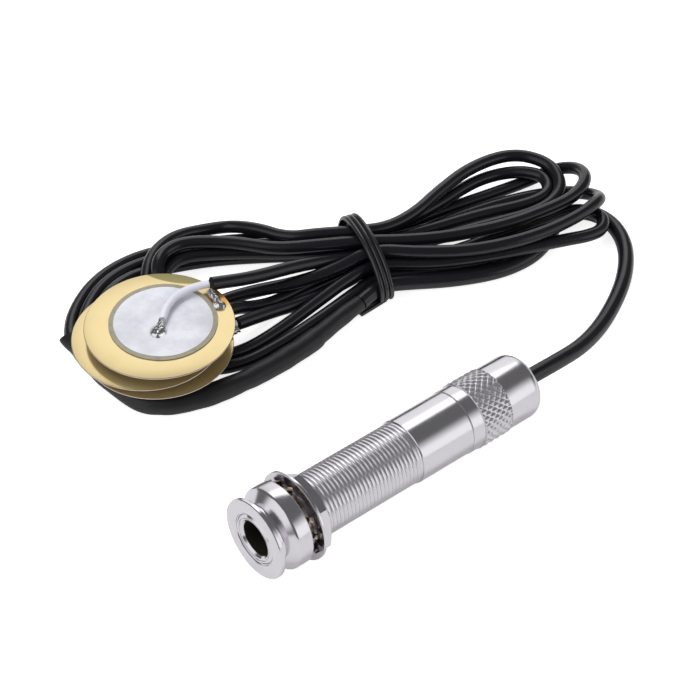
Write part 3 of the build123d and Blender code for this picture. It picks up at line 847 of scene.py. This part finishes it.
def build_knurl_tree():
    """Geometry tree: presses crossed helical grooves into the skin between two stations."""
    sizes = ("Count", "Pitch", "Depth", "Start", "End", "Least Radius")
    tree, given, result = start_tree("diamond knurl", sizes)
    along, turn, radius, outward = read_turned_skin(tree)
    turn = times(turn, given["Count"])
    course = divide(minus(along, given["Start"]), given["Pitch"])
    height = lesser(ridge(plus(turn, course)), ridge(minus(turn, course)))
    raised = times(minus(height, 1.0), given["Depth"])
    after = reckon("GREATER_THAN", along, given["Start"])
    band = times(after, reckon("LESS_THAN", along, given["End"]))
    pressed = times(band, reckon("GREATER_THAN", radius, given["Least Radius"]))
    return press_skin(tree, given, result, outward, raised, pressed, band)


knurl_step = KNURL_PITCH / KNURL_STEPS
cap_outline = [
    (TUBE_END, CAP_CAVITY_RADIUS), (TUBE_END, 5.86), (TUBE_END + 0.05, 5.96),
    (TUBE_END + 0.16, CAP_RADIUS), (KNURL_START - 0.02, CAP_RADIUS),
    (KNURL_START, KNURL_RADIUS - 0.22), (KNURL_START + 0.06, KNURL_RADIUS - 0.1),
]
cap_outline += fine_run(KNURL_START + 0.12, KNURL_END - 0.12, KNURL_RADIUS, knurl_step)
cap_outline += [
    (KNURL_END - 0.06, KNURL_RADIUS - 0.1), (KNURL_END, KNURL_RADIUS - 0.22),
    (KNURL_END + 0.02, CAP_RADIUS), (57.9, CAP_RADIUS), (58.35, 5.95), (58.8, 5.80),
    (59.25, 5.52), (59.65, 5.12), (59.98, 4.62), (60.22, 4.08), (60.40, 3.46), (CAP_END, 2.80),
    (CAP_END, 1.85), (60.42, 1.70), (60.2, CAP_HOLE_RADIUS), (CAP_CAVITY_END, CAP_HOLE_RADIUS),
    (CAP_CAVITY_END, CAP_CAVITY_RADIUS),
]

cap_skin = turn_piece(cap_outline, KNURL_COUNT * KNURL_STEPS)
rear_cap = finish_mesh("rear_cap_knurled", cap_skin, sharp_angle=22.0)
rear_cap.data.materials.append(make_nickel("nickel_cap", 0.17, 0.000003, 0.12))
grow(rear_cap, build_knurl_tree(), {
    "Count": float(KNURL_COUNT), "Pitch": KNURL_PITCH * 0.001, "Depth": KNURL_DEPTH * 0.001,
    "Start": (KNURL_START + 0.1) * 0.001, "End": (KNURL_END - 0.1) * 0.001,
    "Least Radius": KNURL_LEAST_RADIUS * 0.001,
    "Finish": make_nickel("nickel_knurl", 0.22, 0.000002, 0.10, 0.82),
})
fit_to_jack(rear_cap, None, "rear_cap")

# --------------------------------------
# Inside the jack: a phenolic plug carries the tip spring and its lug, and a
# clamp grounds the cable's screen. Hidden once the cap is on, so these keep
# the plain shapes of the solids.

PHENOLIC = (0.25, 0.14, 0.07, 1.0)
PHENOLIC_DARK = (0.16, 0.08, 0.04, 1.0)
SPRING_BRASS = (0.78, 0.66, 0.40, 1.0)
SPRING_DULL = (0.45, 0.30, 0.14, 1.0)
LINER_BLACK = (0.03, 0.03, 0.03, 1.0)
CORE_WHITE = (0.80, 0.80, 0.88, 1.0)
CORE_GREY = (0.55, 0.55, 0.62, 1.0)
SOLDER_GREY = (0.72, 0.73, 0.74, 1.0)
SOLDER_DARK = (0.16, 0.14, 0.12, 1.0)
ROLLED = (0.2, 1.0, 1.0)

# paper laminate, brown, with the fibres showing as a fine grain
phenolic = make_finish(
    "phenolic", PHENOLIC, (500.0, 0.45, 0.15, 0.00003),
    [(400.0, 0.5, 0.4, PHENOLIC_DARK, 0.7)], ROLLED,
)
# rolled spring brass, drawn along its length
spring_metal = make_finish(
    "spring_metal", SPRING_BRASS, (500.0, 0.28, 0.15, 0.00001),
    [(500.0, 0.4, 0.3, SPRING_DULL, 0.5)], ROLLED, {"Metallic": 1.0},
)
# matte black insulating sleeve
liner = make_finish("liner", LINER_BLACK, (600.0, 0.6, 0.2, 0.00003))
# white polyethylene, a little see-through, so light goes into it
core_insulation = make_finish(
    "core_insulation", CORE_WHITE, (700.0, 0.30, 0.15, 0.00002),
    [(900.0, 0.42, 0.2, CORE_GREY, 0.5)],
    plain={
        "Subsurface Weight": 0.35, "Subsurface Scale": 0.0005,
        "Subsurface Radius": (1.0, 1.0, 1.0),
    },
)
# bright tin-lead solder, wrinkled where it set last
solder = make_finish(
    "solder", SOLDER_GREY, (1500.0, 0.17, 0.12, 0.00007),
    [(1400.0, 0.36, 0.15, SOLDER_DARK, 0.8)], plain={"Metallic": 1.0},
)
hidden_finishes = {
    "contact_plug": phenolic,
    "tip_spring": spring_metal,
    "tip_lug": spring_metal,
    "ground_clamp": spring_metal,
    "lug_sleeve": liner,
    "jack_core": core_insulation,
    "jack_solder": solder,
}
for node, finish in hidden_finishes.items():
    for material_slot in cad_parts[node].material_slots:
        material_slot.material = finish

# --------------------------------------
# Brass plates: three 27 mm discs, stamped from thin sheet and stacked loosely.
# Each plate's rim has painted shade where it rounds over and a painted
# highlight on its upright edge, set by which way each face points. Flux has
# run out amber round each joint at the edge, and the top plate has an old
# olive stain on its far rim.

DISCS = (1, 2, 3)
PLATE_SEGMENTS = 240
PLATE_INNER_RING = 0.001
PLATE_MIDDLE_RING = 0.6
WAVER_SCALE = 2.4
WAVER_SHIFT = 90
STAMPED_EDGE = 0.00011
STAMPED_STEPS = 4
BRASS = (0.59, 0.475, 0.242, 1.0)
BRASS_DULL = (0.53, 0.41, 0.19, 1.0)
BRASS_METALLIC = 0.62
# painted shade: dark brown on the faces where each plate's rim rounds over
EDGE_SHADE = (0.30, 0.20, 0.10, 1.0)
EDGE_LEVEL = 0.95
# painted highlight: pale pink on each plate's upright edge, for the floor's reflection there
EDGE_PAINTED_HIGHLIGHT = (0.84, 0.70, 0.64, 1.0)
PAINTED_HIGHLIGHT_LEVEL = 0.5
PAINTED_HIGHLIGHT_LESS_METALLIC = 0.45
FLUX_AMBER = (0.50, 0.22, 0.03, 1.0)
FLUX_ASIDE = Vector((0.0006, 0.0016, 0.0))
FLUX_REACH = 0.0032
FLUX_SCALE = 900.0
FLUX_STRENGTH = 3.2
FLUX_COVER = 0.9
PATINA = (0.15, 0.142, 0.042, 1.0)
PATINA_REACH = 0.0143
PATINA_AWAY = Vector((0.0197, 0.0160, 0.0))
PATINA_STRENGTH = 70.0
PATINA_COVER = 0.85


def box_of(node):
    """A solid's low and high corners."""
    return [Vector(corner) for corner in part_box(node)]


def stamp_disc(name, node, edge, waver=0.0):
    """A thin flat disc in a solid's box, with an eased rim that may waver like printed paste."""
    low, high = box_of(node)
    middle = (low + high) / 2
    radius = (high.x - low.x) / 2
    outline = [(PLATE_INNER_RING, low.z), (radius * PLATE_MIDDLE_RING, low.z)]
    outline += [(radius - edge, low.z), (radius, low.z + edge)]
    for k in range(STAMPED_STEPS + 1):
        bend = math.pi / 2 * k / STAMPED_STEPS
        outline.append((
            radius - edge * (1 - math.cos(bend)), high.z - edge * (1 - math.sin(bend)),
        ))
    outline += [(radius * PLATE_MIDDLE_RING, high.z), (PLATE_INNER_RING, high.z)]
    rings = []
    for out, height in outline:
        ring = []
        for turn in turns(PLATE_SEGMENTS):
            spot = Vector((math.cos(turn), math.sin(turn), 0.0))
            drift = noise.noise(spot * WAVER_SCALE + middle * WAVER_SHIFT)
            reach = out * (1 - waver * (1 + drift))
            ring.append(Vector((middle.x, middle.y, height)) + spot * reach)
        rings.append(ring)
    return finish_mesh(name, close_rings(rings), sharp_angle=30.0)


def nearness(tree, place, reach):
    """A mask that falls from 1 at a place to 0 at its reach."""
    gap = reckon_vector("DISTANCE", object_place(tree), place).outputs["Value"]
    return greater(minus(1.0, divide(gap, reach)), 0.0)


def make_brass(number, flux_place, patina_place):
    """Bare brass sheet, faintly brushed by the mill, stained by flux at one place, with painted
    shade and a painted highlight on its rim.
    """
    finish, shader = new_finish("brass_%d" % number, BRASS)
    tree = shader.id_data
    wear_skin(shader, (420.0, 0.20, 0.12, 0.000005), (0.35, 1.0, 1.0))
    sheet = patch_colour(shader, BRASS, 260.0, 0.48, 0.30, BRASS_DULL, 0.55)
    cloud = {"Vector": object_place(tree), "Scale": FLUX_SCALE}
    ragged = times(add_node(tree, "ShaderNodeTexNoise", cloud), FLUX_STRENGTH)
    flux = lesser(times(nearness(tree, flux_place, FLUX_REACH), ragged), FLUX_COVER)
    stained = blend_colour(shader, flux, sheet, FLUX_AMBER)
    if patina_place:
        old = times(nearness(tree, patina_place, PATINA_REACH), PATINA_STRENGTH)
        stained = blend_colour(shader, lesser(old, PATINA_COVER), stained, PATINA)
    facing = add_node(tree, "ShaderNodeNewGeometry").outputs["True Normal"]
    level = reckon("ABSOLUTE", split(facing)["Z"])
    # painted shade: faces of the rounded rim turn dark brown
    eased = reckon("LESS_THAN", level, EDGE_LEVEL)
    # painted highlight: upright edge faces turn pale pink and less metallic
    cut = reckon("LESS_THAN", level, PAINTED_HIGHLIGHT_LEVEL)
    stained = blend_colour(shader, eased, stained, EDGE_SHADE)
    blend_colour(shader, cut, stained, EDGE_PAINTED_HIGHLIGHT)
    feed(shader, {"Metallic": minus(BRASS_METALLIC, times(cut, PAINTED_HIGHLIGHT_LESS_METALLIC))})
    return finish


for number in DISCS:
    node = "brass_plate_%d" % number
    flux_place = sum(box_of("edge_solder_%d" % number), Vector()) / 2 + FLUX_ASIDE
    patina_place = sum(box_of(node), Vector()) / 2 + PATINA_AWAY if number == 1 else None
    plate = stamp_disc(node + "_stamped", node, STAMPED_EDGE)
    settle(plate, make_brass(number, flux_place, patina_place), node)

# --------------------------------------
# Ceramics and electrodes: a thin disc of fired ceramic glued to each plate,
# and on it a smaller disc of printed silver paste. The paste's edge wavers a
# little, and its colour is clouded with large grey patches.

CERAMIC_GREY = (0.36, 0.33, 0.25, 1.0)
CERAMIC_DARK = (0.22, 0.21, 0.17, 1.0)
CERAMIC_EDGE = 0.00003
CERAMIC_WAVER = 0.003
SILVER_PASTE = (0.80, 0.81, 0.87, 1.0)
SILVER_GREY = (0.50, 0.50, 0.55, 1.0)
SILVER_SPECK = (0.20, 0.18, 0.17, 1.0)
SILVER_EDGE = 0.00001
SILVER_WAVER = 0.006

# fired ceramic, grey-tan and matte, speckled darker
ceramic = make_finish(
    "ceramic", CERAMIC_GREY, (900.0, 0.6, 0.2, 0.00003), [(1100.0, 0.50, 0.25, CERAMIC_DARK, 0.8)],
)
# printed and fired silver, nearly white, clouded grey, with small specks
silver_paste = make_finish(
    "silver", SILVER_PASTE, (800.0, 0.46, 0.18, 0.00004),
    [(105.0, 0.56, 0.22, SILVER_GREY, 0.60), (1700.0, 0.305, 0.05, SILVER_SPECK, 0.75)],
    plain={"Metallic": 0.15},
)
for number in DISCS:
    node = "ceramic_%d" % number
    wafer = stamp_disc(node + "_wafer", node, CERAMIC_EDGE, CERAMIC_WAVER)
    settle(wafer, ceramic, node)
    node = "electrode_%d" % number
    paste = stamp_disc(node + "_paste", node, SILVER_EDGE, SILVER_WAVER)
    settle(paste, silver_paste, node)

# --------------------------------------
# Core wires: each disc cable's inner wire in white insulation, soldered to the
# middle of the silver. The last bit is stripped and its strands are tinned.
# Each runs as a short stiff bow from the cable's end.

CORE_DIAMETER = 0.00145
CORE_ROUTES = (
    in_metres(
        (-23.65, 3.3, 10.95), (-25.4, 2.75, 11), (-27.6, 1.75, 10.9), (-29.6, 0.1, 10.75),
        (-30.8, -2.1, 10.6), (-31.3, -3.9, 10.53), (-31.55, -5.6, 10.47),
    ),
    in_metres((-21.1, -0.5, 7.75), (-23.8, -2.1, 8.39), (-28.5, -5.2, 8.39), (-33.8, -7.6, 8.39)),
    in_metres((-18.7, -1.8, 5.85), (-22, -3.5, 6.31), (-27, -5.6, 6.31), (-31.9, -7.5, 6.31)),
)

for number, route in zip(DISCS, CORE_ROUTES):
    core = lay_line("core_wire_%d_insulation" % number, route, CORE_DIAMETER)
    settle(core, core_insulation, "core_wire_%d" % number)

# --------------------------------------
# Shield tails: the tinned copper strands of each cable's screen, gathered to
# one side, twisted together by hand and soldered to the brass near its edge.

TIN = (0.74, 0.74, 0.75, 1.0)
TIN_DARK = (0.22, 0.19, 0.16, 1.0)
STRAND_SEED = 7
TAIL_ROUTES = (
    in_metres(
        (-23.35, 1.95, 10.55), (-23.1, 1.3, 10.4), (-22.4, 0.4, 10.2), (-21.8, -0.3, 10.06),
        (-21.7, -0.9, 9.9),
    ),
    in_metres((-20.7, -1.7, 7.6), (-21.5, -3.1, 8), (-22.8, -4.3, 8.02)),
    in_metres((-18.35, -3.05, 5.65), (-19.5, -4.3, 5.92), (-21.1, -5.3, 5.95)),
)
BARE_END_ROUTE = in_metres(
    (-31.5, -5.1, 10.45), (-31.65, -6, 10.45), (-31.9, -7, 10.3), (-32.2, -7.8, 9.9),
)


def build_strand_tree():
    """Geometry tree: twists round strands about a line of edges."""
    sizes = ("Strands", "Turns", "Spread", "Strand Radius", "Looseness")
    tree, given, result = start_tree("twisted strands", sizes)
    line = add_node(tree, "GeometryNodeMeshToCurve", {"Mesh": given["Geometry"]})
    lines = {"Geometry": line, "Amount": given["Strands"]}
    copies = add_node(tree, "GeometryNodeDuplicateElements", lines, domain="SPLINE")
    number = copies.outputs["Duplicate Index"]
    share = add_node(tree, "GeometryNodeSplineParameter").outputs["Factor"]
    turn = plus(divide(number, given["Strands"]), times(share, given["Turns"]))
    turn = times(turn, 2 * math.pi)
    draw = {"Seed": STRAND_SEED, "ID": number}
    stray = add_node(tree, "FunctionNodeRandomValue", draw, data_type="FLOAT").outputs[1]
    reach = times(given["Spread"], plus(1.0, times(stray, given["Looseness"])))
    normal = add_node(tree, "GeometryNodeInputNormal")
    side = reckon_vector("CROSS_PRODUCT", add_node(tree, "GeometryNodeInputTangent"), normal)
    across = scaled(normal, times(reckon("COSINE", turn), reach))
    offset = reckon_vector("ADD", across, scaled(side, times(reckon("SINE", turn), reach)))
    places = {"Geometry": copies, "Offset": offset}
    moved = add_node(tree, "GeometryNodeSetPosition", places)
    rounds = {"Resolution": 8, "Radius": given["Strand Radius"]}
    section = add_node(tree, "GeometryNodeCurvePrimitiveCircle", rounds)
    skin = add_node(tree, "GeometryNodeCurveToMesh", {
        "Curve": moved, "Profile Curve": section, "Fill Caps": True,
    })
    return end_tree(tree, given, result, skin)


def twist_strands(name, route, sizes):
    """Lays a bundle of twisted strands along a route."""
    points = [tuple(p) for p in read_line(name + "_line", route)]
    mesh = bpy.data.meshes.new(name)
    mesh.from_pydata(points, [(i, i + 1) for i in range(len(points) - 1)], [])
    bundle = add_object(name, mesh)
    grow(bundle, strand_tree, {**sizes, "Finish": tinned_braid})
    return bundle


strand_tree = build_strand_tree()
# tinned copper, bright, with grey flux left between the strands
tinned_braid = make_finish(
    "tinned_braid", TIN, (1800.0, 0.20, 0.15, 0.00002), [(1500.0, 0.42, 0.15, TIN_DARK, 0.8)],
    plain={"Metallic": 1.0},
)
for number, route in zip(DISCS, TAIL_ROUTES):
    tail = twist_strands("shield_tail_%d_strands" % number, route, {
        "Strands": 9.0, "Turns": 1.6, "Spread": 0.00034, "Strand Radius": 0.00017,
        "Looseness": 0.7,
    })
    settle(tail, None, "shield_tail_%d" % number)
bare_end = twist_strands("core_wire_1_bare_end", BARE_END_ROUTE, {
    "Strands": 7.0, "Turns": 0.5, "Spread": 0.00036, "Strand Radius": 0.00019, "Looseness": 0.5,
})
settle(bare_end, None, "core_wire_1")

# --------------------------------------
# Solder joints: a round pool on the silver and another on the brass rim of
# each disc, lumpy where the wire went in and thin at the foot.

POOL_SEGMENTS = 56
# from the foot to the top: share of the radius and of the height
POOL_PROFILE = (
    (1.00, 0.00), (0.97, 0.10), (0.93, 0.28), (0.86, 0.50), (0.74, 0.70), (0.58, 0.85),
    (0.40, 0.95), (0.22, 0.99), (0.06, 1.00),
)
# for each kind of joint: how far it is pinched in, which way it leans, and its lumps
POOLS = {
    "centre_solder_%d": (0.25, math.radians(35), 0.00034),
    "edge_solder_%d": (0.30, math.radians(-60), 0.00030),
}
SWELL_SCALE = 900.0
DIMPLE_SCALE = 2100.0
WRINKLE_SCALE = 4300.0


def pool_solder(node, waist, lean, lumps):
    """A pool of solder in its solid's box: waist pinches it into lobes, lean turns them."""
    low, high = box_of(node)
    middle = (low + high) / 2
    radius = (high.x - low.x) / 2
    rings = []
    for reach, rise in POOL_PROFILE:
        ring = []
        for turn in turns(POOL_SEGMENTS):
            pinch = 1 - waist * (0.5 - 0.5 * math.cos(2 * (turn - lean))) * (0.35 + 0.65 * rise)
            out = Vector((math.cos(turn), math.sin(turn), 0.0)) * radius * reach * pinch
            spot = Vector((middle.x, middle.y, low.z + (high.z - low.z) * rise)) + out
            spot += out.normalized() * lumps * noise.noise(spot * SWELL_SCALE) * (0.3 + rise)
            dimple = 0.6 * noise.noise(spot * DIMPLE_SCALE)
            wrinkle = 0.5 * noise.noise(spot * WRINKLE_SCALE)
            spot.z = max(spot.z - lumps * rise * (0.5 + dimple + wrinkle), low.z)
            ring.append(spot)
        rings.append(ring)
    return finish_mesh(node + "_pool", close_rings(rings), sharp_angle=70.0)


for number in DISCS:
    for joint, shape in POOLS.items():
        settle(pool_solder(joint % number, *shape), solder, joint % number)

# --------------------------------------
# Studio: a white floor, a white surround and large soft lamps. Floor and
# surround glow for the camera and for reflections only. Between the white
# panels the room is dark, which puts the dark bands on polished metal.

WHITE = (1.0, 1.0, 1.0, 1.0)
FLOOR_SIZE = 3.0
FLOOR_DROP = 0.0002
FLOOR_COLOUR = (0.80, 0.80, 0.80, 1.0)
FLOOR_GLOW = 0.80
FLOOR_GLOSS = 0.20
ROOM_LIGHT = 0.35
ROOM_GLOSS = 0.14
# white panels round the room: bearing from the far side, half width, height,
# half height, soft edge (all in degrees) and brightness
PANELS = (
    (40, 18, 24, 22, 13, 1.12),
    (40, 18, 44, 8, 7, 2.1),
    (152, 18, 11, 11, 25, 1.28),
    (-82, 28, 30, 22, 14, 1.1),
)
# soft lamps: place, size and power
LAMPS = {
    "top_lamp": ((-0.10, 0.35, 0.80), (0.7, 0.35), 4.0),
    "left_lamp": ((-0.75, 0.10, 0.45), (0.35, 0.5), 2.0),
    "front_lamp": ((0.15, -0.80, 0.55), (0.5, 0.3), 1.5),
}


def read_rays(tree):
    """Which rays come straight from the camera, and which by a reflection or through glass."""
    rays = add_node(tree, "ShaderNodeLightPath").outputs
    mirrored = greater(rays["Is Glossy Ray"], rays["Is Transmission Ray"])
    return rays["Is Camera Ray"], mirrored


def within(angle, middle, half, edge):
    """A window on an angle: 1 inside, falling to 0 over its soft edge."""
    off = reckon("ABSOLUTE", minus(angle, math.radians(middle)))
    return hold(divide(minus(math.radians(half + edge), off), math.radians(edge)))


bpy.ops.mesh.primitive_plane_add(size=FLOOR_SIZE, location=(0.0, 0.0, -FLOOR_DROP))
floor = bpy.context.object
floor.name = "floor"
floor_white, shader = new_finish("floor_white", FLOOR_COLOUR, {
    "Roughness": 0.9, "Specular IOR Level": 0.0, "Emission Color": WHITE,
})
direct, mirrored = read_rays(shader.id_data)
glow = greater(times(direct, FLOOR_GLOW), times(mirrored, FLOOR_GLOSS))
feed(shader, {"Emission Strength": glow})
floor.data.materials.append(floor_white)

world = bpy.data.worlds.new("studio")
bpy.context.scene.world = world
world.use_nodes = True
room = world.node_tree
where = add_node(room, "ShaderNodeTexCoord").outputs["Generated"]
parts = split(where)
bearing = reckon("ARCTAN2", parts["X"], parts["Y"])
height = reckon("ARCSINE", parts["Z"])
gloss = ROOM_GLOSS
for across, half_across, up, half_up, edge, white in PANELS:
    panel = times(within(bearing, across, half_across, edge), within(height, up, half_up, edge))
    gloss = greater(gloss, times(panel, white))
direct, mirrored = read_rays(room)
strength = plus(times(minus(1.0, mirrored), ROOM_LIGHT), times(mirrored, gloss))
feed(room.nodes["Background"], {"Strength": greater(strength, direct), "Color": WHITE})

for name, (place, (width, depth), power) in LAMPS.items():
    lamp_data = bpy.data.lights.new(name, "AREA")
    lamp_data.shape = "RECTANGLE"
    lamp_data.size = width
    lamp_data.size_y = depth
    lamp_data.energy = power
    lamp = add_object(name, lamp_data)
    lamp.visible_glossy = False
    lamp.location = place
    lamp.rotation_euler = (-Vector(place)).to_track_quat("-Z", "Y").to_euler()

bpy.context.scene.view_settings.view_transform = "Standard"
